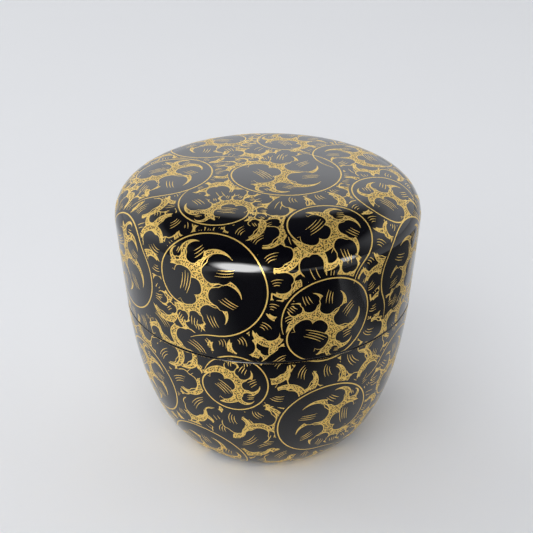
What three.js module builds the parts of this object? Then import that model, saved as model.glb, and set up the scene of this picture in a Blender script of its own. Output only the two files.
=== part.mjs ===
// A turned lacquer tea caddy: a hollow body that narrows to a small foot, and a deep lid with a rounded shoulder
// that slides down over the body's upright rim and rests on the ledge round it.
// Millimetres, +Z up. The origin is the centre of the underside, on the surface that the caddy stands on.

import * as THREE from "three";

// Driving sizes of the outside
const DIAMETER = 66; // across the shoulder, where the lid is widest
const BASE_DIAMETER = 38.6; // across the foot, where the body meets the table
const BODY_HEIGHT = 35; // from the table to the seam
const LID_HEIGHT = 29; // from the seam to the middle of the crown
const SEAM_TAPER = 1.2; // how much less the radius is at the seam than at the shoulder
const BASE_LEAN = THREE.MathUtils.degToRad(28.6); // rise of the body's side where it leaves the foot
const BASE_SPRING = 9.7; // how far the side keeps that direction: length of the curve's lower handle
const SEAM_SPRING = 12.5; // how far below the seam the side keeps the lid's direction: the upper handle
const CROWN_RISE = 1.3; // height of the slight dome on the lid
const SHOULDER_REACH = 10; // from the dome's edge out to the lid's side
const SHOULDER_DROP = 8.2; // from the dome's edge down to the end of the shoulder
const SHOULDER_BLEND = 1.5; // height over which the shoulder turns into the leaning side
const SHOULDER_FULLNESS = 0.56; // handle of the shoulder's curve; 0.55 is a quarter of an ellipse
const EDGE_SOFTENING = 0.25; // rounding of the two edges that meet at the seam

// Driving sizes of the walls and the fit
const LID_WALL = 2.3;
const CROWN_THICKNESS = 2.8;
const FLOOR_THICKNESS = 3.4;
const RIM_HEIGHT = 11; // of the upright rim above the ledge
const RIM_WALL = 1.6;
const RIM_CLEARANCE = 0.3; // between the rim and the lid, on the radius
const RIM_HEADROOM = 1; // straight part of the lid's mouth above the rim
const FOOT_WIDTH = 2.5; // of the ring that the caddy stands on
const FOOT_DEPTH = 0.6; // of the shallow hollow inside that ring
const WELL_INSET = 3.2; // how much less the floor's radius is than the foot's

// Faces
const FACES_ROUND = 72;
const CROWN_STEPS = 4;
const SHOULDER_STEPS = 8;
const SIDE_STEPS = 4;
const BODY_STEPS = 11;
const WELL_STEPS = 8;
const EDGE_STEPS = 2;

// Derived sizes
const shoulderRadius = DIAMETER / 2;
const baseRadius = BASE_DIAMETER / 2;
const height = BODY_HEIGHT + LID_HEIGHT;
const seamRadius = shoulderRadius - SEAM_TAPER;
const crownRadius = shoulderRadius - SHOULDER_REACH;
const crownEdge = height - CROWN_RISE;
const shoulderStart = crownEdge - SHOULDER_DROP;
const mouthRadius = seamRadius - LID_WALL;
const rimOuterRadius = mouthRadius - RIM_CLEARANCE;
const rimInnerRadius = rimOuterRadius - RIM_WALL;
const rimTop = BODY_HEIGHT + RIM_HEIGHT;
const mouthTop = rimTop + RIM_HEADROOM;

// A point of a profile: distance from the axis, and height.
function at(radius, z) {
  return new THREE.Vector2(radius, z);
}

// Direction of the side where the lid and the body meet.
const seamDirection = at(SEAM_TAPER, shoulderStart - SHOULDER_BLEND - BODY_HEIGHT).normalize();

// The points of some curves joined end to end. Each entry is a point, or a curve and its number of steps.
function profile(...entries) {
  const points = [];
  for (const entry of entries) {
    const found = Array.isArray(entry) ? entry[0].getPoints(entry[1]) : [entry];
    for (const point of found) {
      const last = points[points.length - 1];
      if (!last || last.distanceTo(point) > 1e-6) points.push(point);
    }
  }
  return points;
}

// The edge between an upright side and a level face, softened.
function softEdge(start, corner, end) {
  return [new THREE.QuadraticBezierCurve(start, corner, end), EDGE_STEPS];
}

// The shoulder, from the end of the upright side to the dome's edge. Its lower end is upright and its upper end has the
// dome's slope.
function shoulder(sideRadius, sideTop, edgeRadius, edgeHeight) {
  const reach = sideRadius - edgeRadius;
  const slope = (2 * CROWN_RISE) / crownRadius;
  return new THREE.CubicBezierCurve(
    at(sideRadius, sideTop),
    at(sideRadius, sideTop + SHOULDER_FULLNESS * (edgeHeight - sideTop)),
    at(edgeRadius + SHOULDER_FULLNESS * reach, edgeHeight - SHOULDER_FULLNESS * reach * slope),
    at(edgeRadius, edgeHeight),
  );
}

// The slight dome on the lid, from its edge to the axis, level in the middle.
function dome(edgeRadius, edgeHeight) {
  const rise = CROWN_RISE * (edgeRadius / crownRadius) ** 2;
  return new THREE.QuadraticBezierCurve(
    at(edgeRadius, edgeHeight),
    at(edgeRadius / 2, edgeHeight + rise),
    at(0, edgeHeight + rise),
  );
}

// The side of the body, from its bottom to its top. It leaves the bottom at BASE_LEAN and ends in the direction given.
function bodySide(bottom, top, topDirection) {
  const lean = at(Math.cos(BASE_LEAN), Math.sin(BASE_LEAN));
  return new THREE.CubicBezierCurve(
    bottom,
    bottom.clone().addScaledVector(lean, BASE_SPRING),
    top.clone().addScaledVector(topDirection, -SEAM_SPRING),
    top,
  );
}

// A solid turned round +Z. The profile runs anticlockwise, with the axis on its left-hand side.
function turned(points) {
  return new THREE.LatheGeometry(points, FACES_ROUND).rotateX(Math.PI / 2);
}

function bodyGeometry() {
  const softTop = at(seamRadius, BODY_HEIGHT - EDGE_SOFTENING);
  const rimCorner = RIM_WALL / 4;
  const underside = [at(0, FOOT_DEPTH), at(baseRadius - FOOT_WIDTH - FOOT_DEPTH, FOOT_DEPTH)];
  const outside = bodySide(at(baseRadius, 0), softTop, seamDirection);
  const inside = bodySide(
    at(baseRadius - WELL_INSET, FLOOR_THICKNESS),
    at(rimInnerRadius, BODY_HEIGHT),
    at(0, 1),
  );
  return turned(
    profile(
      ...underside,
      at(baseRadius - FOOT_WIDTH, 0),
      [outside, BODY_STEPS],
      softEdge(softTop, at(seamRadius, BODY_HEIGHT), at(seamRadius - EDGE_SOFTENING, BODY_HEIGHT)),
      at(rimOuterRadius, BODY_HEIGHT),
      softEdge(at(rimOuterRadius, rimTop - rimCorner), at(rimOuterRadius, rimTop), at(rimOuterRadius - rimCorner, rimTop)),
      softEdge(at(rimInnerRadius + rimCorner, rimTop), at(rimInnerRadius, rimTop), at(rimInnerRadius, rimTop - rimCorner)),
      ...inside.getPoints(WELL_STEPS).reverse(),
      at(0, FLOOR_THICKNESS),
    ),
  );
}

function lidGeometry() {
  const softBottom = at(seamRadius, BODY_HEIGHT + EDGE_SOFTENING);
  const sideEnd = at(shoulderRadius, shoulderStart);
  const side = new THREE.QuadraticBezierCurve(
    softBottom,
    at(shoulderRadius, shoulderStart - SHOULDER_BLEND),
    sideEnd,
  );
  const innerCrownEdge = crownEdge - CROWN_THICKNESS;
  const innerShoulder = shoulder(shoulderRadius - LID_WALL, shoulderStart, crownRadius, innerCrownEdge);
  return turned(
    profile(
      ...dome(crownRadius, innerCrownEdge).getPoints(CROWN_STEPS).reverse(),
      ...innerShoulder.getPoints(SHOULDER_STEPS).reverse(),
      at(mouthRadius, mouthTop),
      at(mouthRadius, BODY_HEIGHT),
      softEdge(at(seamRadius - EDGE_SOFTENING, BODY_HEIGHT), at(seamRadius, BODY_HEIGHT), softBottom),
      [side, SIDE_STEPS],
      [shoulder(shoulderRadius, shoulderStart, crownRadius, crownEdge), SHOULDER_STEPS],
      [dome(crownRadius, crownEdge), CROWN_STEPS],
    ),
  );
}

const blackLacquer = new THREE.MeshStandardMaterial({
  name: "black_lacquer",
  color: new THREE.Color(0.012, 0.011, 0.014),
  roughness: 0.08,
  metalness: 0,
});

function piece(name, geometry) {
  const mesh = new THREE.Mesh(geometry, blackLacquer);
  mesh.name = name;
  return mesh;
}

const caddy = new THREE.Group();
caddy.name = "tea_caddy";
caddy.add(piece("caddy_body", bodyGeometry()));
caddy.add(piece("caddy_lid", lidGeometry()));

export default caddy;
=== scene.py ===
"""A lacquer tea caddy on a pale floor: gloss black, with flush gold scrollwork of stems and leaves.

Lengths are in millimetres, as on the object, until they reach Blender, which takes metres. A place on the
outside is an angle round the axis, 0 at the front, and a distance down the surface from the middle of the
crown. The scrollwork is drawn flat, with complex numbers (x to the right, y up the side), and then laid on.
"""

import math
from collections import namedtuple

import bpy
import numpy as np
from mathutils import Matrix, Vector
from mathutils.geometry import delaunay_2d_cdt


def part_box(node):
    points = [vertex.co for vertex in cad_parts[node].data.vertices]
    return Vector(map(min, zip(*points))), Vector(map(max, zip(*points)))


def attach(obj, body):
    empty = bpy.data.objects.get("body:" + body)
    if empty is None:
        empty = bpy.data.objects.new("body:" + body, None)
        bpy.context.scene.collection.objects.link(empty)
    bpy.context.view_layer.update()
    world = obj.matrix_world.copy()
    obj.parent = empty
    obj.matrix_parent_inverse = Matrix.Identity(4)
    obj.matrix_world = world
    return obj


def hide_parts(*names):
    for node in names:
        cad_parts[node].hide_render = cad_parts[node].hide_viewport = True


MM = 0.001

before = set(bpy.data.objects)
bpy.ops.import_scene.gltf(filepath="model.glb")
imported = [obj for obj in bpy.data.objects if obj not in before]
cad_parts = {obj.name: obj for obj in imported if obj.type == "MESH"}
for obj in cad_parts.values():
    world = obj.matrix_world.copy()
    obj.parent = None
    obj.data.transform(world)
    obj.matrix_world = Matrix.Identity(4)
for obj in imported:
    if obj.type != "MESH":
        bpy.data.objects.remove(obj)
bpy.ops.object.select_all(action="DESELECT")
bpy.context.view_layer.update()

# The camera of the photograph. Its lengths are in metres.

EYE_DISTANCE = 0.215
EYE_ANGLE = 0.507  # radians above the level of the seam
EYE_LEVEL = 0.034
LOOK_DOWN = 0.483  # radians below the horizon
ROLL = -0.0069
LENS = 63.71
SIDE_SHIFT = -0.00324


def set_up_camera():
    data = bpy.data.cameras.new("camera")
    data.lens = LENS
    data.shift_x = SIDE_SHIFT
    data.clip_start, data.clip_end = 0.01, 20
    camera = bpy.data.objects.new("camera", data)
    back, up = EYE_DISTANCE * math.cos(EYE_ANGLE), EYE_DISTANCE * math.sin(EYE_ANGLE)
    camera.location = (0, -back, EYE_LEVEL + up)
    camera.rotation_mode = "ZXY"
    camera.rotation_euler = (math.pi / 2 - LOOK_DOWN, 0, ROLL)
    bpy.context.collection.objects.link(camera)
    bpy.context.scene.camera = camera
    bpy.context.scene.view_settings.view_transform = "Standard"


# The caddy's outline. Its main sizes come from the frame's boxes.

LID_LOW, LID_HIGH = [Vector(corner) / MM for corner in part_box("caddy_lid")]
_, BODY_HIGH = [Vector(corner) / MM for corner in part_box("caddy_body")]
SHOULDER_RADIUS = LID_HIGH.x
SEAM_RADIUS = BODY_HIGH.x
HEIGHT = LID_HIGH.z
SEAM_HEIGHT = LID_LOW.z
RIM_TOP = BODY_HIGH.z
FOOT_RADIUS = 19.3
FOOT_LEAN = math.radians(28.6)
FOOT_SPRING = 9.7  # how far the body's side keeps the lean it has at the foot
SEAM_SPRING = 12.5  # how far below the seam it keeps the lid's direction
CROWN_RADIUS = 23.0
CROWN_RISE = 1.3
SHOULDER_DROP = 8.2
SHOULDER_BLEND = 1.5
SHOULDER_FULLNESS = 0.56
SOFT_EDGE = 0.25
LID_WALL = 2.3
CROWN_THICKNESS = 2.8
RIM_WALL = 1.6
RIM_CLEARANCE = 0.3
RIM_HEADROOM = 1.0
FLOOR_THICKNESS = 3.4
WELL_INSET = 3.2
FOOT_WIDTH = 2.5
FOOT_DEPTH = 0.6
CROWN_STEPS = 60
LID_SIDE_STEPS = 40
BODY_STEPS = 100
INNER_SHOULDER_STEPS = 14
INNER_CROWN_STEPS = 8
WELL_STEPS = 20
CORNER_STEPS = 3

CROWN_EDGE = HEIGHT - CROWN_RISE
SHOULDER_START = CROWN_EDGE - SHOULDER_DROP
MOUTH_RADIUS = SEAM_RADIUS - LID_WALL
RIM_OUTER = MOUTH_RADIUS - RIM_CLEARANCE
RIM_INNER = RIM_OUTER - RIM_WALL


def curve(points, steps):
    """Points along a Bezier curve, as rows of radius and height."""
    share = np.linspace(0, 1, steps + 1)[:, None]
    level = [np.array(point, float) for point in points]
    while len(level) > 1:
        level = [a * (1 - share) + b * share for a, b in zip(level, level[1:])]
    return level[0]


def chained(*parts):
    """Some curves joined end to end, each shared point kept once."""
    points = np.vstack([np.atleast_2d(part) for part in parts])
    steps = np.linalg.norm(np.diff(points, axis=0), axis=1)
    return points[np.r_[True, steps > 1e-6]]


def dome(edge_radius, edge_height, steps):
    top = edge_height + CROWN_RISE * (edge_radius / CROWN_RADIUS) ** 2
    return curve([(0, top), (edge_radius / 2, top), (edge_radius, edge_height)], steps)


def shoulder(side_radius, side_top, edge_radius, edge_height, steps):
    reach = SHOULDER_FULLNESS * (side_radius - edge_radius)
    slope = 2 * CROWN_RISE / CROWN_RADIUS
    return curve(
        [
            (edge_radius, edge_height),
            (edge_radius + reach, edge_height - reach * slope),
            (side_radius, side_top + SHOULDER_FULLNESS * (edge_height - side_top)),
            (side_radius, side_top),
        ],
        steps,
    )


def body_side(top, top_direction, bottom, steps):
    below_top = np.array(top) - SEAM_SPRING * np.array(top_direction)
    lean = FOOT_SPRING * np.array([math.cos(FOOT_LEAN), math.sin(FOOT_LEAN)])
    return curve([top, below_top, np.array(bottom) + lean, bottom], steps)


def lid_outside():
    side = [
        (SHOULDER_RADIUS, SHOULDER_START),
        (SHOULDER_RADIUS, SHOULDER_START - SHOULDER_BLEND),
        (SEAM_RADIUS, SEAM_HEIGHT + SOFT_EDGE),
    ]
    return chained(
        dome(CROWN_RADIUS, CROWN_EDGE, CROWN_STEPS),
        shoulder(SHOULDER_RADIUS, SHOULDER_START, CROWN_RADIUS, CROWN_EDGE, CROWN_STEPS),
        curve(side, LID_SIDE_STEPS),
    )


def body_outside():
    side = np.array([SHOULDER_RADIUS - SEAM_RADIUS, SHOULDER_START - SHOULDER_BLEND - SEAM_HEIGHT])
    top = (SEAM_RADIUS, SEAM_HEIGHT - SOFT_EDGE)
    return body_side(top, side / np.linalg.norm(side), (FOOT_RADIUS, 0), BODY_STEPS)


def soft_corner(before, corner, after):
    return curve([before, corner, after], CORNER_STEPS)


def lid_inside():
    """From the lower edge of the lid's side, round its lip, up the mouth and under the crown."""
    low = SEAM_HEIGHT
    lip = soft_corner((SEAM_RADIUS, low + SOFT_EDGE), (SEAM_RADIUS, low), (SEAM_RADIUS - SOFT_EDGE, low))
    mouth = MOUTH_RADIUS
    mouth_edge = soft_corner((mouth + SOFT_EDGE, low), (mouth, low), (mouth, low + SOFT_EDGE))
    inner_edge = CROWN_EDGE - CROWN_THICKNESS
    inner_side = SHOULDER_RADIUS - LID_WALL
    inner_shoulder = shoulder(inner_side, SHOULDER_START, CROWN_RADIUS, inner_edge, INNER_SHOULDER_STEPS)
    return chained(
        lip,
        mouth_edge,
        (mouth, RIM_TOP + RIM_HEADROOM),
        inner_shoulder[::-1],
        dome(CROWN_RADIUS, inner_edge, INNER_CROWN_STEPS)[::-1],
    )


def body_inside():
    """From the upper edge of the body's side, over the ledge and the rim, and down the well."""
    side, ledge = SEAM_RADIUS, SEAM_HEIGHT
    soft, top = RIM_WALL / 4, RIM_TOP
    edge = soft_corner((side, ledge - SOFT_EDGE), (side, ledge), (side - SOFT_EDGE, ledge))
    outer = soft_corner((RIM_OUTER, top - soft), (RIM_OUTER, top), (RIM_OUTER - soft, top))
    inner = soft_corner((RIM_INNER + soft, top), (RIM_INNER, top), (RIM_INNER, top - soft))
    well_bottom = (FOOT_RADIUS - WELL_INSET, FLOOR_THICKNESS)
    well = body_side((RIM_INNER, ledge), (0, 1), well_bottom, WELL_STEPS)
    return chained(edge, (RIM_OUTER, ledge), outer, inner, well, (0, FLOOR_THICKNESS))


def foot_underside():
    hollow = FOOT_RADIUS - FOOT_WIDTH
    return chained((FOOT_RADIUS, 0), (hollow, 0), (hollow - FOOT_DEPTH, FOOT_DEPTH), (0, FOOT_DEPTH))


# The skin: the decorated outside, and places on it.

SKIN_STEP = 0.05
FLAT_MIDDLE = 1  # how far from its middle the crown is taken as flat


class Skin:
    """The outside from the middle of the crown to the foot: radius, height and slope by distance."""

    def __init__(self, lid, body):
        outline = chained(lid, body)
        length = np.r_[0, np.cumsum(np.linalg.norm(np.diff(outline, axis=0), axis=1))]
        self.end = length[-1]
        self.lid_end = length[len(lid) - 1]
        self.body_start = length[len(lid)]
        self.distance = np.append(np.arange(0, self.end, SKIN_STEP), self.end)
        self.radius = np.interp(self.distance, length, outline[:, 0])
        self.height = np.interp(self.distance, length, outline[:, 1])
        out, up = np.gradient(self.radius, self.distance), np.gradient(self.height, self.distance)
        self.out, self.up = out / np.hypot(out, up), up / np.hypot(out, up)
        growth = np.where(self.distance > FLAT_MIDDLE, 1 / np.maximum(self.radius, 0.5), 0)
        spread = np.cumsum((growth[1:] + growth[:-1]) / 2 * np.diff(self.distance))
        self.spread = np.r_[0, np.exp(spread)] * np.minimum(self.distance, FLAT_MIDDLE)

    def at(self, distance):
        columns = self.radius, self.height, self.out, self.up
        return [np.interp(distance, self.distance, column) for column in columns]

    def point(self, angle, distance):
        radius, height, _, _ = self.at(distance)
        return np.stack([radius * np.sin(angle), -radius * np.cos(angle), height], -1)

    def normal(self, angle, distance):
        _, _, out, up = self.at(distance)
        return np.stack([-up * np.sin(angle), up * np.cos(angle), out], -1)

    def directions(self, angle, distance):
        """The way to the right at a place, and the way down the surface."""
        _, _, out, up = self.at(distance)
        right = np.array([math.cos(angle), math.sin(angle), 0])
        return right, np.array([out * math.sin(angle), -out * math.cos(angle), up])

    def unrolled(self, angle, distance):
        """A place on a flat disc that keeps every small shape true, as a complex number."""
        return np.interp(distance, self.distance, self.spread) * np.exp(1j * angle)

    def rolled(self, flat):
        return np.angle(flat), np.interp(np.abs(flat), self.spread, self.distance)

    def lay(self, angle, distance, flat, steps=16):
        """Places of flat offsets from one place, each laid along the shortest line on the surface."""
        place = np.tile(self.point(angle, distance), (len(flat), 1))
        right, down = self.directions(angle, distance)
        reach = np.abs(flat)
        unit = flat / np.maximum(reach, 1e-9)
        heading = unit.real[:, None] * right - unit.imag[:, None] * down
        distance = np.full(len(flat), float(distance))
        for _ in range(steps):
            place = place + heading * (reach / steps)[:, None]
            from_axis = np.hypot(place[:, 0], place[:, 1])
            for _ in range(2):
                radius, height, out, up = self.at(distance)
                distance = distance + (from_axis - radius) * out + (place[:, 2] - height) * up
                distance = np.clip(distance, 0, self.end)
            radius, height, out, up = self.at(distance)
            x, y = place[:, 0] / from_axis, place[:, 1] / from_axis
            place = np.stack([x * radius, y * radius, height], -1)
            normal = np.stack([-up * x, -up * y, out], -1)
            heading = heading - (heading * normal).sum(-1, keepdims=True) * normal
            heading /= np.maximum(np.linalg.norm(heading, axis=-1, keepdims=True), 1e-9)
        return np.arctan2(place[:, 0], -place[:, 1]), distance


# The scrollwork, drawn flat.

STIPPLED, BRIGHT, BLACK = 0, 1, 2  # the three tones, and the order of the material slots
BARE, OUTSIDE = -1, -2  # covered by no outline, and not part of the skin

# One scroll: its ring's centre, the ring's and the eye's radius, where the ring starts and how far it turns
# (degrees), which way it turns (1 is anticlockwise), and how many degrees of tail lead into it and to which
# side they bend.
Scroll = namedtuple("Scroll", "angle distance radius eye start turn hand tail bend", defaults=(40, -1))

SCROLL_TABLE = (
    # on the crown
    (54, 4.6, 11.8, 5.2, 13, 404, -1),
    (-28.3, 18.1, 9.2, 3.4, 176, 305, 1, 30),
    (-84, 21.5, 9.7, 4.0, -20, 400, 1),
    (24, 29.7, 8.8, 4.2, -47, 356, 1),
    (66, 27.5, 8.0, 3.6, -30, 400, 1),
    (112, 20.5, 9.0, 3.9, 120, 400, -1),
    (160, 19.5, 9.0, 3.9, 200, 400, 1),
    (-142, 20.5, 9.5, 4.0, 60, 400, -1),
    # on the lid's side
    (-19.7, 40.1, 11.2, 4.4, -90, 445, 1, 35),
    (20.5, 48.0, 9.6, 4.4, 135, 440, -1, 60, 1),
    (60, 42.5, 9.5, 4.0, -150, 420, -1),
    (98, 45.5, 10.5, 4.2, 60, 420, 1),
    (139, 41.5, 10.5, 4.2, -90, 420, -1),
    (180, 47.5, 10.5, 4.4, 120, 420, -1),
    (-140, 42, 10.5, 4.2, -60, 420, 1),
    (-101, 47, 10.0, 4.2, 150, 420, -1),
    (-63, 42.5, 10.2, 4.2, -120, 420, 1),
    # on the body
    (-13.5, 62.6, 7.2, 3.6, 52, 377, -1, 110, 1),
    (23.6, 74.9, 10.3, 4.2, -89, 450, -1, 30),
    (-33, 87.5, 9.0, 3.9, 159, 416, -1, 30),
    (-58, 70, 9.0, 3.9, -100, 420, 1),
    (62, 68, 8.5, 3.7, 150, 420, -1),
    (100, 75, 9.5, 4.0, -60, 420, 1),
    (138, 68, 8.5, 3.7, 90, 420, -1),
    (176, 76, 9.5, 4.0, -90, 420, 1),
    (-140, 69, 9.0, 3.9, 120, 420, -1),
    (-100, 76, 9.5, 4.0, -80, 420, 1),
)
SCROLLS = [Scroll(*row) for row in SCROLL_TABLE]

STEM = 0.28  # width of a stem's line
STEM_STEP = 6  # degrees between the points of a stem
STEM_STOP = 60  # degrees before the curl's end, where the line stops
CURL_START, CURL_FULL = 215, 120  # degrees before the end, where a ring starts to curl in and is tightest
TAIL_RADIUS = 0.95  # as a share of the ring's

EDGE = 0.22  # width of the bright edge round gold
STIPPLE_FROM, STIPPLE_LEAST = 0.12, 0.05  # the room that starts the stipple, and its least width
OVERLAP = 0.05  # of a crescent and its head

SCALLOP_DEPTH = 0.28  # as a share of the head's radius
LOBE_POINTS = 9

CRESCENT = 1.7  # greatest width of a gold crescent
CRESCENT_SHARE = 0.8  # its greatest width as a share of the head's radius
CRESCENT_POINTS = 15
CRESCENT_AT = (0, 0.22, 0.5, 1)
CRESCENT_THICK = (0.7, 1, 0.72, 0.03)
CRESCENT_FLARE = 0.22  # how far its point leaves the head, as a share of the radius

HATCH_FROM, HATCH_TO = 0.42, 0.90  # shares of a lobe's length
HATCH_POINTS = 5
HATCH_STAGGER = 0.04
HATCH_WIDTH, HATCH_TIP = 0.14, 0.02
HATCH_GAP = 0.62

TRUNK = 1.8  # width of the gold that runs round a scroll's eye
TRUNK_UNDER = 0.9  # how far it runs in under the eye
TRUNK_POINTS = 34
TRUNK_FROM, TRUNK_TO = 118, -112  # degrees round the eye, 0 towards the ring's middle
TRUNK_FREE = 0.8  # the share of its width that the heads leave free

FIRST_CLAW, LAST_CLAW = 146, -126  # degrees round the eye
LEAST_ROOM = 2.9  # for a claw, between the trunk and the ring
SKIPPED = 15  # degrees passed over where there is less
CLAW_SWEEP = 158


def turned(degrees):
    return np.exp(1j * np.radians(degrees))


def heading_of(path):
    ahead = np.gradient(path)
    return ahead / np.maximum(np.abs(ahead), 1e-9)


def interpolated(at, known, values):
    return np.interp(at, known, values.real) + 1j * np.interp(at, known, values.imag)


def bent(start, knee, end, steps):
    share = np.linspace(0, 1, steps)
    return (1 - share) ** 2 * start + 2 * share * (1 - share) * knee + share**2 * end


def ribbon(path, width):
    """The outline of a stroke along a path, with a width at each point."""
    side = 1j * heading_of(path) * np.asarray(width) / 2
    return np.r_[path + side, (path - side)[::-1]]


def stipple_within(path, width):
    """The stippled middle of a band of gold, where it is wide enough for one."""
    inside = width - 2 * EDGE
    wide = np.flatnonzero(inside > STIPPLE_FROM)
    if len(wide) < 3:
        return []
    part = slice(wide[0], wide[-1] + 1)
    return [(ribbon(path[part], np.maximum(inside[part], STIPPLE_LEAST)), STIPPLED)]


def gold_bands(bands):
    """Bands of gold that run into one another: first all their bright edges, then their stipple."""
    shapes = [(ribbon(path, width), BRIGHT) for path, width in bands]
    for path, width in bands:
        shapes += stipple_within(path, width)
    return shapes


def head_outline(centre, radius, front, scallops, steps=22):
    """The round head of a lobe, with sharp notches between its scallops. front is where it points."""
    angle = np.linspace(-np.pi, np.pi, steps, endpoint=False)
    reach = np.ones(len(angle))
    if scallops > 1:
        half = scallops * angle / 2
        wave = np.abs(np.sin(half) if scallops % 2 == 0 else np.cos(half))
        reach = 1 - SCALLOP_DEPTH * (1 - wave) ** 2
    return centre + radius * reach * front * np.exp(1j * angle)


def edged_head(centre, radius, front, scallops, steps, edged):
    """A black head with a fine bright edge along some of its points."""
    edge = head_outline(centre, radius + EDGE / 2, front, scallops, steps)[edged]
    taper = np.sin(np.linspace(0.03, 0.97, len(edge)) * np.pi) ** 0.5
    outline = head_outline(centre, radius, front, scallops, steps)
    return [(ribbon(edge, EDGE * taper), BRIGHT), (outline, BLACK)]


def hatching(spine, count, gap):
    """Fine tapered strokes side by side along a lobe."""
    shapes = []
    along = np.linspace(0, 1, len(spine))
    width = HATCH_WIDTH * np.sin(np.linspace(0.10, 0.95, HATCH_POINTS) * np.pi) + HATCH_TIP
    for stroke in range(count):
        offset = (stroke - (count - 1) / 2) * gap
        share = np.linspace(HATCH_FROM, HATCH_TO, HATCH_POINTS) + HATCH_STAGGER * (stroke % 3)
        path = interpolated(share, along, spine)
        across = interpolated(share, along, 1j * heading_of(spine))
        shapes.append((ribbon(path + across * offset * (0.7 + 0.4 * share), width), BRIGHT))
    return shapes


def crescent(head, radius, front, hand, sweep):
    """A band that starts thick in front of a head and goes round its side to a point."""
    share = np.linspace(0, 1, CRESCENT_POINTS)
    angle = -hand * np.radians(sweep) * share
    thick = min(CRESCENT, CRESCENT_SHARE * radius) * np.interp(share, CRESCENT_AT, CRESCENT_THICK)
    reach = radius * (1 + CRESCENT_FLARE * share**2) + thick / 2 - OVERLAP
    return head + reach * front * np.exp(1j * angle), thick


def lobe(root, knee, head, radius, hand, root_width, strokes, gap, sweep):
    """One leaf lobe: its crescent, its bright edge, its black blade and head, and its hatching."""
    spine = bent(root, knee, head, LOBE_POINTS)
    front = heading_of(spine)[-1]
    scallops = 3 if radius > 2.4 else 2 if radius > 1.6 else 1
    width = np.linspace(root_width, 1.8 * radius, LOBE_POINTS)
    shapes = gold_bands([crescent(head, radius, front * turned(hand * 25), hand, sweep)])
    shapes.append((head_outline(head, radius + EDGE, front, scallops), BRIGHT))
    shapes.append((ribbon(spine, width), BLACK))
    shapes.append((head_outline(head, radius, front, scallops), BLACK))
    return shapes + hatching(spine, strokes, gap)


def outer_lobe(root, knee, head, radius, hand):
    strokes = 3 if radius > 1.4 else 2
    gap = min(HATCH_GAP, 0.4 * radius)
    return lobe(root, knee, head, radius, hand, 1.35 * radius, strokes, gap, OUTER_SWEEP)


def volute(scroll):
    """A scroll's stem about its ring's centre: the tail, the ring that curls in, and the eye's middle."""
    loose, tight = scroll.turn - CURL_START, scroll.turn - CURL_FULL
    turn = np.arange(0, scroll.turn + 1, STEM_STEP)
    share = np.clip((turn - loose) / (tight - loose), 0, 1)
    radius = scroll.radius + (scroll.eye - scroll.radius) * share**2 * (3 - 2 * share)
    heading = np.radians(scroll.start + 90 * scroll.hand) + scroll.hand * np.radians(turn)
    step = radius * np.exp(1j * heading)
    ring = np.r_[0, np.cumsum((step[1:] + step[:-1]) / 2)] * math.radians(STEM_STEP)
    ring = ring + scroll.radius * turned(scroll.start)
    back = np.radians(np.arange(STEM_STEP, scroll.tail + 1, STEM_STEP))
    away = heading[0] - scroll.hand * scroll.bend * back
    tail = ring[0] - np.cumsum(TAIL_RADIUS * scroll.radius * np.exp(1j * away)) * math.radians(STEM_STEP)
    eye = ring[-1] + 1j * scroll.hand * scroll.eye * np.exp(1j * heading[-1])
    return tail[::-1], ring, eye


def reach_to(path, origin, heading, nearest):
    """How far it is from a point to a path, along a direction."""
    seen = (path - origin) / heading
    one, two = seen[:-1], seen[1:]
    crossing = (one.imag * two.imag <= 0) & (np.abs(one.imag - two.imag) > 1e-9)
    one, two = one[crossing], two[crossing]
    reach = one.real + (two.real - one.real) * one.imag / (one.imag - two.imag)
    reach = reach[reach > nearest]
    return reach.min() if len(reach) else None


def scroll_inside(scroll, tail, ring, eye, rng):
    """What fills a ring: black, a gold trunk with claws round the eye, the heads between, and the eye."""
    whole = int(min(360, scroll.turn) / STEM_STEP) + 1
    away = eye / max(abs(eye), 1e-9)
    claws, heads = inner_lobes(scroll, np.r_[tail[-8:], ring], eye, away, rng)
    gold = gold_bands([trunk_band(scroll, eye, away)] + claws)
    return [(ring[:whole], BLACK)] + gold + heads + eye_lobe(scroll, ring, eye, away)


def trunk_band(scroll, eye, away):
    """The gold round the side of the eye that faces the ring's middle, as a path and its widths."""
    around = np.linspace(TRUNK_FROM, TRUNK_TO, TRUNK_POINTS)
    path = eye - away * turned(-scroll.hand * around) * (scroll.eye + 0.5 * TRUNK - 0.5 * TRUNK_UNDER)
    point = np.arange(TRUNK_POINTS)
    swell = np.minimum(1, np.minimum(point, point[::-1]) / 8 + 0.05)
    return path, (TRUNK + TRUNK_UNDER) * swell


def inner_lobes(scroll, path, eye, away, rng):
    """The claws that leave the trunk, as bands, and the black heads in their curves."""
    claws, heads = [], []
    angle = FIRST_CLAW
    while angle > LAST_CLAW:
        out = -away * turned(-scroll.hand * angle)
        far = reach_to(path, eye, out, 1.3 * scroll.eye)
        room = (far or 0.9 * scroll.radius) - scroll.eye - TRUNK_FREE * TRUNK
        if room < LEAST_ROOM:
            angle -= SKIPPED
            continue
        radius = np.clip(0.31 * room, 0.8, 3.1) * rng.uniform(0.94, 1.06)
        from_eye = scroll.eye + TRUNK_FREE * TRUNK + radius
        angle -= math.degrees((1.75 * radius + 0.6) / from_eye)
        head = eye + out * from_eye
        claws.append(claw(scroll, eye, out, head, radius))
        heads += inner_head(scroll, out, head, radius)
    return claws, heads


def claw(scroll, eye, out, head, radius):
    """A crescent round a head, with its thick end carried back into the trunk."""
    start = eye + out * turned(scroll.hand * 16) * (scroll.eye + 0.4 * TRUNK)
    around, thick = crescent(head, radius, -out * turned(-scroll.hand * 12), scroll.hand, CLAW_SWEEP)
    return np.r_[start, around], np.r_[thick[1], thick]


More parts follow.
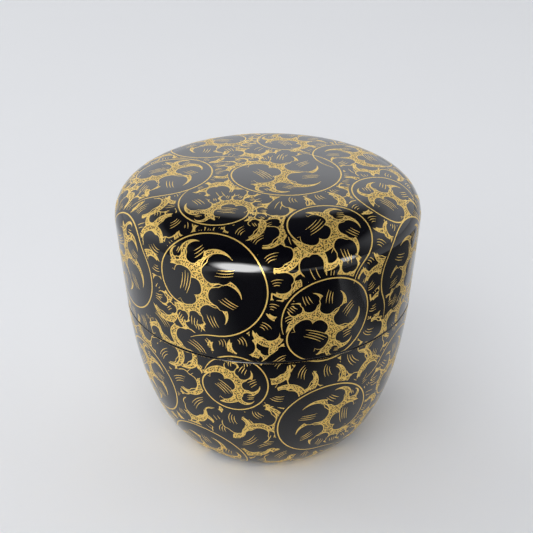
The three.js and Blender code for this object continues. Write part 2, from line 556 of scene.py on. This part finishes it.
def inner_head(scroll, out, head, radius):
    """A head that points at the eye, and the hatching behind it."""
    scallops = 3 if radius > 1.6 else 2
    shapes = edged_head(head, radius, -out, scallops, 22, slice(5, 18))
    tip = head - 0.2 * radius * out
    root = head + 2.0 * radius * out * turned(-scroll.hand * 18)
    knee = (root + head) / 2 - (root - head) * 1j * scroll.hand * 0.22
    strokes = 3 if radius > 1.3 else 2
    return shapes + hatching(bent(root, knee, tip, LOBE_POINTS), strokes, min(HATCH_GAP, 0.4 * radius))


def eye_lobe(scroll, ring, eye, away):
    """The round lobe that the curl of the stem ends in, scalloped where it meets the trunk."""
    facing = (ring[-1] - eye) / abs(ring[-1] - eye)
    grain = facing * turned(scroll.hand * 75)
    root, tip = eye - 1.25 * grain * scroll.eye, eye + 0.9 * grain * scroll.eye
    spine = bent(root, eye - 1.6j * scroll.hand * grain, tip, LOBE_POINTS)
    return edged_head(eye, scroll.eye, -away, 5, 60, slice(11, 50)) + hatching(spine, 4, 0.6)


def stem_line(tail, ring):
    path = np.r_[tail, ring[: -STEM_STOP // STEM_STEP]]
    count = np.arange(len(path))
    taper = np.minimum(1, np.minimum(count / 8 + 0.3, count[::-1] / 7 + 0.3))
    return [(ribbon(path, STEM * taper), BRIGHT)]


# The scrollwork, laid out on the skin.

ROWS = 3  # of lobes outside a ring, each further out than the last
ROW_DEPTH = 5.0  # from one row to the next
ROW_SHIFT = 1.6  # how far along the stem each row is moved on
LOBE_LENGTH = 9.0  # where there is room
LOBE_LEAN = 56  # degrees from the stem
LOBE_SPACING = 4.3
SHORTEST_LOBE = 3.7
BIGGEST_HEAD = 2.7
HEAD_SHARE = 0.40  # of a lobe's length
PROBE, PROBE_ROOM = 4, 3.2  # how far along a lobe its room is tested, and how much less will do there
TUCKED = 1.3  # how far a lobe runs in under the next ring
OUTER_SWEEP = 165
CROWDED = 0.82  # how near two heads come, as a share of both radii
BAND = 1.3  # black kept along a stem
ROW_STOP, BAND_STOP = 130, 96  # degrees before the curl's end, where a stem's outer lobes and its band stop

GRID = 0.9  # spacing of the points that find bare gaps
SMALLEST_GAP = 0.75
BIGGEST_LEAF = 2.4
LEAF_SWEEP = 150


def lobe_roots(path, side, row, rng):
    """Where a row's lobes start, the stem's heading there, and each lobe's share of the full size."""
    length = np.r_[0, np.cumsum(np.abs(np.diff(path)))]
    sizes = rng.uniform(0.78, 1.22, int(length[-1] / LOBE_SPACING))
    spots = 0.8 + np.cumsum(LOBE_SPACING * sizes) - LOBE_SPACING * sizes[:1].sum()
    root = interpolated(spots, length, path)
    ahead = interpolated(spots, length, heading_of(path))
    ahead /= np.abs(ahead)
    return root + ahead * (row * ROW_DEPTH * 1j * side + ROW_SHIFT * row), ahead, sizes


class Sheet:
    """Flat shapes in painter's order, each drawn about a scroll's centre or another place."""

    def __init__(self, skin):
        self.skin = skin
        self.entries = []

    def add(self, place, shapes):
        """Adds shapes drawn about a place, which is an angle in degrees and a distance."""
        self.entries += [(place, outline, tone) for outline, tone in shapes]

    def laid(self):
        """The same shapes on the skin, as rows of angles, of distances, and the tone."""
        groups = {}
        for index, (place, _, _) in enumerate(self.entries):
            groups.setdefault(place, []).append(index)
        found = [None] * len(self.entries)
        for (angle, distance), members in groups.items():
            outlines = [self.entries[index][1] for index in members]
            angles, distances = self.skin.lay(math.radians(angle), distance, np.concatenate(outlines))
            ends = np.cumsum([len(outline) for outline in outlines])[:-1]
            for index, around, down in zip(members, np.split(angles, ends), np.split(distances, ends)):
                found[index] = around, down, self.entries[index][2]
        return found


class Layout:
    """Where the rings are on the skin, and which heads of outer lobes are already drawn."""

    def __init__(self, skin):
        self.skin = skin
        self.centres = np.array([skin.point(math.radians(s.angle), s.distance) for s in SCROLLS])
        self.radii = np.array([s.radius for s in SCROLLS])
        self.heads = []

    def on_skin(self, scroll, flat):
        return self.skin.point(*self.skin.lay(math.radians(scroll.angle), scroll.distance, flat))

    def clearance(self, scroll, flat):
        """How far points drawn about a scroll are from the nearest other ring. Negative is inside it."""
        places = self.on_skin(scroll, flat)
        gaps = np.linalg.norm(places[:, None] - self.centres[None], axis=-1) - self.radii
        gaps[:, SCROLLS.index(scroll)] = np.inf
        return gaps.min(1)

    def free_tail(self, scroll, tail):
        """The part of a tail next to its ring that no other ring covers."""
        covered = np.flatnonzero(self.clearance(scroll, tail) < 0)
        return tail[covered[-1] :] if len(covered) else tail

    def outer_lobes(self, scroll, path, side, row, rng):
        """A row of lobes along the outside of a stem, as long as other rings leave room for."""
        root, ahead, sizes = lobe_roots(path, side, row, rng)
        lean = ahead * turned(side * LOBE_LEAN)
        room_ahead = self.clearance(scroll, root + PROBE * lean) + PROBE_ROOM
        room = np.minimum(self.clearance(scroll, root), room_ahead)
        reach = np.minimum(LOBE_LENGTH * sizes, np.maximum(room, 0) + TUCKED)
        radius = np.minimum(BIGGEST_HEAD, HEAD_SHARE * reach)
        heads = root + (reach - radius) * lean
        places = self.on_skin(scroll, heads)
        shapes = []
        for index in np.flatnonzero(reach > SHORTEST_LOBE):
            if self.taken(places[index], radius[index], scroll):
                continue
            self.heads.append((places[index], radius[index], scroll))
            knee = root[index] + 0.5 * reach[index] * ahead[index] * turned(side * 10)
            shapes += outer_lobe(root[index], knee, heads[index], radius[index], -side)
        return shapes

    def taken(self, place, radius, scroll):
        return any(
            owner is not scroll and np.linalg.norm(place - head) < CROWDED * (radius + size)
            for head, size, owner in self.heads
        )


def even_places(skin, spacing, start, end):
    """Places spread evenly over the skin, as angles and distances."""
    angles, distances = [], []
    for row, distance in enumerate(np.arange(start + spacing / 2, end - 0.3 * spacing, 0.87 * spacing)):
        count = max(4, round(2 * math.pi * skin.at(distance)[0] / spacing))
        angles.append((np.arange(count) + 0.5 * (row % 2)) * 2 * math.pi / count)
        distances.append(np.full(count, distance))
    return np.concatenate(angles), np.concatenate(distances)


def within(points, outline):
    """Which flat points lie inside an outline."""
    here = points[:, None]
    one, two = outline[None], np.roll(outline, -1)[None]
    crossing = (one.imag > here.imag) != (two.imag > here.imag)
    rise = np.where(two.imag == one.imag, 1, two.imag - one.imag)
    meets = (two.real - one.real) * (here.imag - one.imag) / rise + one.real
    return (crossing & (here.real < meets)).sum(1) % 2 == 1


def bare_depths(places, covered):
    """How far each bare place is from the nearest black one. The depth of a black place is 0."""
    solid = places[covered]
    depth = np.zeros(len(places))
    for index in np.flatnonzero(~covered):
        depth[index] = np.linalg.norm(solid - places[index], axis=1).min()
    return depth


def gap_leaf(skin, angle, distance, towards, radius, gap, rng):
    """A leaf whose root points roughly towards the nearest black, drawn about a place in a gap."""
    right, down = skin.directions(angle, distance)
    back = complex(towards @ right, towards @ -down)
    back = back / abs(back) * turned(rng.uniform(-25, 25))
    head = 0.3 * back * (gap - radius)
    root = head + 2.4 * back * radius
    hand = 1 if rng.random() < 0.5 else -1
    knee = (root + head) / 2 + 0.5j * back * hand * radius
    return lobe(root, knee, head, radius, -hand, 1.2 * radius, 2, 0.45 * radius, LEAF_SWEEP)


def gap_leaves(skin, drawn, rng):
    """Leaves for the gaps that the stems' own lobes leave, the deepest first. They lie under all else."""
    angles, distances = even_places(skin, GRID, 0, skin.end)
    places = skin.point(angles, distances)
    black = [skin.unrolled(around, down) for around, down, tone in drawn if tone == BLACK]
    covered = top_tones(skin.unrolled(angles, distances), black, [BLACK] * len(black)) == BLACK
    solid = places[covered]
    gap = bare_depths(places, covered)
    leaves = []
    while gap.max() > SMALLEST_GAP:
        index = int(np.argmax(gap))
        away = np.linalg.norm(solid - places[index], axis=1)
        towards = solid[np.argmin(away + 0.3 * rng.random(len(away)))] - places[index]
        radius = min(BIGGEST_LEAF, 1.08 * gap[index] + 0.1)
        leaf = gap_leaf(skin, angles[index], distances[index], towards, radius, gap[index], rng)
        leaves.append(((math.degrees(angles[index]), distances[index]), leaf))
        away = np.linalg.norm(places - places[index], axis=1)
        gap = np.where(gap > 0, np.minimum(gap, np.maximum(away - radius, 0)), 0)
    sheet = Sheet(skin)
    for leaf in reversed(leaves):
        sheet.add(*leaf)
    return sheet.laid()


def outer_rows(layout, stems, rng):
    """The rows of outer lobes, nearest first, each as a list of what every scroll has in it."""
    rows = [[] for _ in range(ROWS)]
    for row, drawn in enumerate(rows):
        for scroll, tail, ring, eye in stems:
            outside = np.r_[tail, ring[: len(ring) - ROW_STOP // STEM_STEP]]
            lobes = layout.outer_lobes(scroll, outside, -scroll.hand, row, rng)
            if row == 0:
                lobes += layout.outer_lobes(scroll, np.r_[tail, ring[:4]], scroll.hand, row, rng)
            drawn.append((scroll[:2], lobes))
    return rows


def scrollwork(skin):
    """Every shape of the pattern in painter's order, on a ground of stippled gold."""
    rng = np.random.default_rng(7)
    layout = Layout(skin)
    stems = []
    for scroll in SCROLLS:
        tail, ring, eye = volute(scroll)
        stems.append((scroll, layout.free_tail(scroll, tail), ring, eye))
    sheet = Sheet(skin)
    for row in reversed(outer_rows(layout, stems, rng)):
        for drawn in row:
            sheet.add(*drawn)
    for scroll, tail, ring, eye in stems:
        path = np.r_[tail, ring[: -BAND_STOP // STEM_STEP]]
        sheet.add(scroll[:2], [(ribbon(path, np.full(len(path), BAND)), BLACK)])
    for scroll, tail, ring, eye in stems:
        sheet.add(scroll[:2], scroll_inside(scroll, tail, ring, eye, rng))
    for scroll, tail, ring, eye in stems:
        sheet.add(scroll[:2], stem_line(tail, ring))
    drawn = sheet.laid()
    return gap_leaves(skin, drawn, rng) + drawn


# The materials. Their colours are linear, and their sizes are in metres or in waves per metre.

BLACK_COLOUR = (0.0025, 0.0025, 0.004, 1)
LACQUER_IOR = 1.5
GOLD_DEEP, GOLD_PALE = (0.74, 0.49, 0.11, 1), (0.92, 0.65, 0.20, 1)
STIPPLE_DEEP, STIPPLE_PALE = (0.68, 0.44, 0.08, 1), (0.88, 0.60, 0.16, 1)
SPECK_COLOUR = (0.03, 0.02, 0.008, 1)
SPECK_FROM, SPECK_TO = 0.42, 0.50  # where a speck gives way to gold, as shares of its cell
GOLD_METALLIC = 0.5
COAT_WAVES, GRAIN, SPECKS = 120, 2600, 3300.0
COAT_RELIEF, GOLD_RELIEF = 0.00004, 0.00003


def new_material(name):
    material = bpy.data.materials.new(name)
    material.use_nodes = True
    tree = material.node_tree
    return material, tree, tree.nodes["Principled BSDF"]


def fill_in(tree, node, **values):
    """Gives a node its settings, and its inputs a value each or what another node puts out."""
    for name, value in values.items():
        if hasattr(node, name):
            setattr(node, name, value)
        elif isinstance(value, bpy.types.NodeSocket):
            tree.links.new(value, node.inputs[name.replace("_", " ")])
        else:
            node.inputs[name.replace("_", " ")].default_value = value


def added(tree, kind, **values):
    """A new node, filled in."""
    node = tree.nodes.new(kind)
    fill_in(tree, node, **values)
    return node


def noise(tree, scale, detail=2.0):
    """Noise at a scale in waves per metre, fixed to the piece."""
    place = added(tree, "ShaderNodeTexCoord").outputs["Object"]
    return added(tree, "ShaderNodeTexNoise", Vector=place, Scale=scale, Detail=detail).outputs["Fac"]


def rescaled(tree, value, low, high, start=0, end=1, **settings):
    """A value of start to end, spread from low to high."""
    ranges = {"From_Min": start, "From_Max": end, "To_Min": low, "To_Max": high}
    return added(tree, "ShaderNodeMapRange", **settings, **ranges, Value=value).outputs["Result"]


def mixed(tree, share, one, other):
    """One colour where the share is 0, and the other where it is 1."""
    return added(tree, "ShaderNodeMix", data_type="RGBA", A=one, B=other, Factor=share).outputs["Result"]


def relief(tree, height, distance):
    """A shader's fine relief, from a value for its height."""
    return added(tree, "ShaderNodeBump", Distance=distance, Strength=1.0, Height=height).outputs["Normal"]


def powdered_gold(tree, deep, pale):
    """Two tones of gold in a fine grain."""
    return mixed(tree, noise(tree, GRAIN, 3), deep, pale)


def black_lacquer():
    """Polished black lacquer, with the slight waviness of many hand-laid coats."""
    material, tree, shader = new_material("black lacquer")
    roughness = rescaled(tree, noise(tree, 900), 0.05, 0.09)
    waves = relief(tree, noise(tree, COAT_WAVES), COAT_RELIEF)
    fill_in(tree, shader, Base_Color=BLACK_COLOUR, IOR=LACQUER_IOR, Roughness=roughness, Normal=waves)
    return material


def bright_gold():
    material, tree, shader = new_material("bright gold")
    colour = powdered_gold(tree, GOLD_DEEP, GOLD_PALE)
    roughness = rescaled(tree, noise(tree, 3000), 0.30, 0.48)
    grain = relief(tree, noise(tree, 4000), GOLD_RELIEF)
    fill_in(tree, shader, Base_Color=colour, Metallic=GOLD_METALLIC, Roughness=roughness, Normal=grain)
    return material


def stippled_gold():
    """Gold worked over with small dark specks, which let the black lacquer show."""
    material, tree, shader = new_material("stippled gold")
    place = added(tree, "ShaderNodeTexCoord").outputs["Object"]
    cells = added(tree, "ShaderNodeTexVoronoi", feature="F1", Vector=place, Scale=SPECKS)
    gold = rescaled(tree, cells.outputs["Distance"], 0, 1, SPECK_FROM, SPECK_TO)
    colour = mixed(tree, gold, SPECK_COLOUR, powdered_gold(tree, STIPPLE_DEEP, STIPPLE_PALE))
    metallic, roughness = rescaled(tree, gold, 0, GOLD_METALLIC), rescaled(tree, gold, 0.25, 0.42)
    grain = relief(tree, gold, GOLD_RELIEF)
    fill_in(tree, shader, Base_Color=colour, Metallic=metallic, Roughness=roughness, Normal=grain)
    return material


# The meshes.

FACES_ROUND = 192
CURVE_SPACING = 1.15  # between the points that keep the skin round
MARGIN = 0.04  # how near the pattern comes to the edges of the skin
WELD = 0.002
ON_SKIN = 0.01  # how near the skin a vertex is to count as part of it
SMOOTH_ANGLE = math.radians(35)
BATCH, COARSE = 4000, 4  # places measured at once, and the step through the skin's table at first
MAP_MIDDLE, MAP_RADIUS = (0.5, 0.5), 0.49  # the map's disc for the outside
LINING_MIDDLE, LINING_RADIUS = (0.08, 0.08), 0.07  # the map's disc for a lining
AXIS_HOLE = 0.5  # radius of a wall's last ring, before it is closed to a point


def cut_flat(places, edges):
    """Flat points joined up into triangles that keep some edges whole."""
    points = [Vector((place.real, place.imag)) for place in places]
    made = delaunay_2d_cdt(points, edges, [], 0, 1e-5, False)
    return np.array([complex(*point) for point in made[0]]), np.array(made[2])


def top_tones(points, outlines, tones):
    """The tone that shows at each flat point: the last outline's that is round it, or BARE."""
    order = np.argsort(points.real)
    sorted_points = points[order]
    shown = np.full(len(points), BARE)
    for outline, tone in zip(outlines[::-1], tones[::-1]):
        first, last = np.searchsorted(sorted_points.real, (outline.real.min(), outline.real.max()))
        here = sorted_points[first:last]
        level = (here.imag > outline.imag.min()) & (here.imag < outline.imag.max())
        near = np.flatnonzero((shown[first:last] == BARE) & level)
        inside = near[within(here[near], outline)]
        shown[first + inside] = tone
    in_order = np.empty_like(shown)
    in_order[order] = shown
    return in_order


def visible_edges(triangles, shown):
    """The edges where two tones meet."""
    pairs = np.sort(triangles[:, [0, 1, 1, 2, 2, 0]].reshape(-1, 2), axis=1)
    tones = np.repeat(shown, 3)
    edges, which = np.unique(pairs, axis=0, return_inverse=True)
    which = which.ravel()
    lowest = np.full(len(edges), BLACK)
    highest = np.full(len(edges), OUTSIDE)
    np.minimum.at(lowest, which, tones)
    np.maximum.at(highest, which, tones)
    return edges[lowest != highest]


def pattern_between(skin, start, end, shapes):
    """The outlines on the flat disc, and the tones, of the pattern from one distance to another."""
    ring = np.arange(FACES_ROUND) * 2 * math.pi / FACES_ROUND
    outlines, tones = [skin.unrolled(ring, np.full(FACES_ROUND, end))], [STIPPLED]
    lowest = start + MARGIN if start > 0 else 0
    for angles, distances, tone in shapes:
        if distances.min() < end and distances.max() > start:
            outlines.append(skin.unrolled(angles, np.clip(distances, lowest, end - MARGIN)))
            tones.append(tone)
    if start > 0:
        outlines.append(skin.unrolled(ring, np.full(FACES_ROUND, start)))
        tones.append(OUTSIDE)
    return outlines, tones


def closed_edges(outlines):
    """The edges of closed outlines whose points are numbered in one row."""
    ends = np.cumsum([0] + [len(outline) for outline in outlines])
    edges = [(one, one + 1) for one in range(ends[-1])]
    for first, last in zip(ends, ends[1:]):
        edges[last - 1] = (last - 1, first)
    return edges


def cut_by_tone(outlines, tones, extra):
    """Triangles cut along the edges that show, with extra points between, and each triangle's tone."""
    places, triangles = cut_flat(np.concatenate(outlines), closed_edges(outlines))
    edges = visible_edges(triangles, top_tones(places[triangles].mean(1), outlines, tones))
    used, edges = np.unique(edges, return_inverse=True)
    places, triangles = cut_flat(np.r_[places[used], extra], edges.reshape(-1, 2).tolist())
    shown = top_tones(places[triangles].mean(1), outlines, tones)
    return places, triangles[shown >= 0], shown[shown >= 0]


def map_shares(skin, start, end, distances):
    """How far out each distance is on the map, from the middle of the crown or of the underside."""
    if start == 0:
        return distances / end
    whole = skin.end + skin.radius[-1]
    return (whole - distances) / (whole - start)


def inlaid_skin(name, skin, start, end, shapes, materials):
    """The outside from one distance to another, cut along the pattern, with a material on each face."""
    outlines, tones = pattern_between(skin, start, end, shapes)
    extra = skin.unrolled(*even_places(skin, CURVE_SPACING, start, end))
    places, triangles, shown = cut_by_tone(outlines, tones, extra)
    angles, distances = skin.rolled(places)
    for edge in (start, end):
        distances[np.abs(distances - edge) < MARGIN / 4] = edge
    mesh = bpy.data.meshes.new(name)
    mesh.from_pydata(skin.point(angles, distances) * MM, [], triangles.tolist())
    mesh.polygons.foreach_set("material_index", shown)
    for material in materials:
        mesh.materials.append(material)
    lay_map(mesh, angles, map_shares(skin, start, end, distances), MAP_MIDDLE, MAP_RADIUS)
    piece = bpy.data.objects.new(name, mesh)
    bpy.context.collection.objects.link(piece)
    return piece


def values_of(items, name, width, kind=float):
    """One value, or a few, of each item of a mesh."""
    found = np.empty(width * len(items), kind)
    items.foreach_get(name, found)
    return found.reshape(-1, width)


def vertex_places(mesh):
    return values_of(mesh.vertices, "co", 3) / MM


def corner_vertices(mesh):
    return values_of(mesh.loops, "vertex_index", 1, int)[:, 0]


def lay_map(mesh, angles, shares, middle, size):
    """The map for baking: a flat disc, each vertex at its angle and at a share of the disc's radius."""
    flat = np.stack([np.sin(angles), np.cos(angles)], -1) * (shares * size)[:, None] + middle
    mesh.uv_layers.new(name="OFBake").data.foreach_set("uv", flat[corner_vertices(mesh)].ravel())


def lay_wall_map(mesh, rings, middle, size):
    """The same for a turned wall, whose vertices all lie on its rings."""
    rings = np.array(rings)
    length = np.r_[0, np.cumsum(np.linalg.norm(np.diff(rings, axis=0), axis=1))]
    places = vertex_places(mesh)
    radius = np.hypot(places[:, 0], places[:, 1])
    off = np.hypot(radius[:, None] - rings[:, 0], places[:, 2, None] - rings[:, 1])
    shares = 1 - length[np.argmin(off, axis=1)] / length[-1]
    lay_map(mesh, np.arctan2(places[:, 0], -places[:, 1]), shares, middle, size)


def turned_wall(name, rings, material, middle, size):
    """A plain wall, extruded ring by ring from the first ring to the axis."""
    (radius, height), *others = rings
    place = (0, 0, height * MM)
    bpy.ops.mesh.primitive_circle_add(vertices=FACES_ROUND, radius=radius * MM, location=place)
    wall = bpy.context.object
    wall.name = name
    bpy.ops.object.transform_apply(location=True, rotation=False, scale=False)
    bpy.ops.object.mode_set(mode="EDIT")
    bpy.ops.mesh.select_all(action="SELECT")
    for next_radius, next_height in others:
        target = max(next_radius, AXIS_HOLE)
        move = (0, 0, (next_height - height) * MM)
        bpy.ops.mesh.extrude_edges_move(TRANSFORM_OT_translate={"value": move})
        share = target / radius
        bpy.ops.transform.resize(value=(share, share, 1), center_override=(0, 0, 0))
        radius, height = target, next_height
    bpy.ops.mesh.merge(type="CENTER")
    bpy.ops.object.mode_set(mode="OBJECT")
    wall.data.materials.append(material)
    lay_wall_map(wall.data, rings, middle, size)
    return wall


def joined(*pieces):
    """Pieces made one and welded where they meet."""
    bpy.ops.object.select_all(action="DESELECT")
    for piece in pieces:
        piece.select_set(True)
    bpy.context.view_layer.objects.active = pieces[0]
    bpy.ops.object.join()
    bpy.ops.object.mode_set(mode="EDIT")
    bpy.ops.mesh.select_all(action="SELECT")
    bpy.ops.mesh.remove_doubles(threshold=WELD * MM)
    bpy.ops.mesh.normals_make_consistent(inside=False)
    bpy.ops.object.mode_set(mode="OBJECT")
    return pieces[0]


def corners_of_whole_faces(mesh, chosen):
    """Which corners belong to faces that have all their corners chosen."""
    sides = [polygon.loop_total for polygon in mesh.polygons]
    face = np.repeat(np.arange(len(mesh.polygons)), sides)
    whole = np.ones(len(mesh.polygons), bool)
    np.logical_and.at(whole, face, chosen)
    return whole[face]


def smooth(piece, skin, start, end):
    """Shades the plain walls smooth by angle, and the decorated skin by its true outline."""
    bpy.ops.object.shade_smooth_by_angle(angle=SMOOTH_ANGLE)
    mesh = piece.data
    places, corner = vertex_places(mesh), corner_vertices(mesh)
    normals = values_of(mesh.corner_normals, "vector", 3)
    distance, gap = nearest_distance(skin, places)
    outer = (gap < ON_SKIN) & (distance > start - ON_SKIN) & (distance < end + ON_SKIN)
    on_skin = corners_of_whole_faces(mesh, outer[corner])
    angle = np.arctan2(places[:, 0], -places[:, 1])
    true = skin.normal(angle, distance)[corner]
    normals[on_skin] = true[on_skin]
    mesh.normals_split_custom_set(normals.tolist())


def nearest_distance(skin, places):
    """The distance down the skin of each place, and how far the place is from the skin."""
    radius, height = np.hypot(places[:, 0], places[:, 1]), places[:, 2]
    found = np.empty(len(places))
    for first in range(0, len(places), BATCH):
        part = slice(first, first + BATCH)
        out_by = radius[part, None] - skin.radius[None, ::COARSE]
        up_by = height[part, None] - skin.height[None, ::COARSE]
        found[part] = skin.distance[::COARSE][np.argmin(np.hypot(out_by, up_by), 1)]
    for _ in range(3):
        at_radius, at_height, out, up = skin.at(found)
        found = np.clip(found + (radius - at_radius) * out + (height - at_height) * up, 0, skin.end)
    at_radius, at_height, _, _ = skin.at(found)
    return found, np.hypot(radius - at_radius, height - at_height)


def make_caddy():
    """The two pieces, each a decorated skin welded to its plain walls."""
    skin = Skin(lid_outside(), body_outside())
    shapes = scrollwork(skin)
    materials = [stippled_gold(), bright_gold(), black_lacquer()]
    plain = materials[BLACK]
    foot_map = MAP_RADIUS * FOOT_RADIUS / (skin.end + FOOT_RADIUS - skin.body_start)

    lid = joined(
        inlaid_skin("lid", skin, 0, skin.lid_end, shapes, materials),
        turned_wall("lid_lining", lid_inside(), plain, LINING_MIDDLE, LINING_RADIUS),
    )
    smooth(lid, skin, 0, skin.lid_end)
    body = joined(
        inlaid_skin("body", skin, skin.body_start, skin.end, shapes, materials),
        turned_wall("body_lining", body_inside(), plain, LINING_MIDDLE, LINING_RADIUS),
        turned_wall("foot", foot_underside(), plain, MAP_MIDDLE, foot_map),
    )
    smooth(body, skin, skin.body_start, skin.end)
    for piece, node in ((lid, "caddy_lid"), (body, "caddy_body")):
        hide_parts(node)
        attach(piece, "root")


# The studio. Its lengths are in metres.

LIGHTS_AIM = (0, 0, 0.03)
TABLE_DEEP, TABLE_COLOUR, TABLE_PALE = (0.83, 0.84, 0.86), (0.84, 0.85, 0.87), (0.85, 0.86, 0.88)
TABLE_ROUGHNESS = 0.9
BACKDROP_COLOUR = (0.74, 0.755, 0.78, 1)
ROOM_LOW, ROOM_HIGH = (0.64, 0.655, 0.68, 1), (0.02, 0.02, 0.03, 1)
# Heights in the room's light, and how pale it is at each.
ROOM_TONES = ((0.22, 0.74), (0.40, 0.96), (0.54, 0.84), (0.70, 0.04))
ROOM_TURN = (-0.45, 0.15)  # from the front to behind, where the room's light changes
ROOM_LIGHT = (0.08, 1.45)  # its strength at the front and behind
CARD_LIFT = 0.0005
SHADE_CARD_MIDDLE, BRIGHT_MIDDLE = 0.78, 0.45  # shares of a card's radius, where it starts to fade


def aimed(light, place):
    light.location = place
    light.rotation_euler = (Vector(LIGHTS_AIM) - Vector(place)).to_track_quat("-Z", "Y").to_euler()


def area_light(name, place, size, power):
    """A soft light that shows neither to the camera nor in the lacquer."""
    data = bpy.data.lights.new(name, "AREA")
    data.shape = "RECTANGLE"
    data.size, data.size_y = size
    data.energy = power
    light = bpy.data.objects.new(name, data)
    bpy.context.collection.objects.link(light)
    aimed(light, place)
    light.visible_glossy = light.visible_camera = False


def room_colour(tree, height):
    ramp = added(tree, "ShaderNodeValToRGB", Fac=height)
    stops = ramp.color_ramp.elements
    stops[0].position, stops[0].color = 0.0, ROOM_LOW
    stops[1].position, stops[1].color = 1.0, ROOM_HIGH
    for position, tone in ROOM_TONES:
        stop = stops.new(position)
        stop.color = (tone, tone * 1.02, tone * 1.06, 1)
    return ramp.outputs["Color"]


def set_up_room():
    """A room lit from behind the caddy: pale round the horizon there, dark overhead and at the front.

    Beyond the table, the camera sees a plain pale backdrop on every side.
    """
    world = bpy.data.worlds.new("room")
    bpy.context.scene.world = world
    world.use_nodes = True
    tree = world.node_tree
    place = added(tree, "ShaderNodeTexCoord").outputs["Generated"]
    split = added(tree, "ShaderNodeSeparateXYZ", Vector=place)
    strength = rescaled(tree, split.outputs["Y"], *ROOM_LIGHT, *ROOM_TURN)
    room = tree.nodes["Background"]
    fill_in(tree, room, Color=room_colour(tree, split.outputs["Z"]), Strength=strength)
    backdrop = added(tree, "ShaderNodeBackground", Color=BACKDROP_COLOUR)
    to_camera = added(tree, "ShaderNodeLightPath").outputs["Is Camera Ray"]
    mix = added(tree, "ShaderNodeMixShader", Fac=to_camera)
    tree.links.new(room.outputs["Background"], mix.inputs[1])
    tree.links.new(backdrop.outputs["Background"], mix.inputs[2])
    fill_in(tree, tree.nodes["World Output"], Surface=mix.outputs["Shader"])


def faded_to_edge(tree, middle):
    """A value that is 0 in the middle of a disc of radius 1 and 1 at its edge."""
    place = added(tree, "ShaderNodeTexCoord").outputs["Object"]
    length = added(tree, "ShaderNodeVectorMath", operation="LENGTH", Vector=place).outputs["Value"]
    return rescaled(tree, length, 0, 1, middle, 1, interpolation_type="SMOOTHSTEP")


def reflected_card(name, place, size, material):
    """An oval card that shows only in the lacquer."""
    bpy.ops.mesh.primitive_circle_add(vertices=64, radius=1, fill_type="NGON", location=place)
    card = bpy.context.object
    card.name = name
    card.scale = (*size, 1)
    card.data.materials.append(material)
    card.visible_camera = card.visible_diffuse = card.visible_shadow = False
    return card


def painted_shade_card(name, place, size, shade_depth):
    """A card on the table, seen only in reflections, that paints shade into what the lacquer reflects: dark
    in the middle and as pale as the table at its edge.
    """
    material, tree, shader = new_material(name)
    dark = [(1 - shade_depth) * tone for tone in TABLE_COLOUR] + [1]
    colour = mixed(tree, faded_to_edge(tree, SHADE_CARD_MIDDLE), dark, (*TABLE_COLOUR, 1))
    fill_in(tree, shader, Base_Color=colour, Roughness=TABLE_ROUGHNESS)
    reflected_card(name, (*place, CARD_LIFT), size, material)


def window_card(name, place, size, strength):
    """A bright card in the air, fading to nothing at its edge, for a window's reflection."""
    material, tree, shader = new_material(name)
    fill_in(tree, shader, Base_Color=(0, 0, 0, 1), Emission_Color=(1, 1, 1, 1))
    fade = faded_to_edge(tree, BRIGHT_MIDDLE)
    glow, cover = rescaled(tree, fade, strength, 0), rescaled(tree, fade, 1, 0)
    fill_in(tree, shader, Emission_Strength=glow, Alpha=cover)
    card = reflected_card(name, place, size, material)
    aimed(card, place)


def set_up_floor():
    bpy.ops.mesh.primitive_plane_add(size=6, location=(0, 0, 0))
    floor = bpy.context.object
    floor.name = "floor"
    material, tree, shader = new_material("pale card")
    colour = mixed(tree, noise(tree, 6), (*TABLE_DEEP, 1), (*TABLE_PALE, 1))
    fill_in(tree, shader, Base_Color=colour, Roughness=TABLE_ROUGHNESS)
    floor.data.materials.append(material)


def set_up_lights():
    # Painted shade, seen only in reflections: a dark card out of sight in front of the caddy darkens what
    # the lacquer reflects at the front, and a fainter one to the right darkens the reflection of the table
    # there.
    painted_shade_card("front_shade_card", (0.03, -0.249), (0.19, 0.225), 0.995)
    painted_shade_card("side_shade_card", (0.125, -0.01), (0.06, 0.11), 0.85)
    area_light("key", (-1.9, 1.3, 1.9), (2.0, 2.0), 12)
    area_light("overhead", (-0.5, 0.1, 2.0), (2.6, 2.6), 11)
    area_light("fill", (-0.6, -1.8, 1.7), (3.4, 2.4), 51)
    window_card("window", (-0.155, -0.45, 0.105), (0.215, 0.165), 17)
    window_card("far_window", (0.40, -0.29, 0.09), (0.09, 0.075), 9)


set_up_camera()
set_up_room()
set_up_floor()
set_up_lights()
make_caddy()
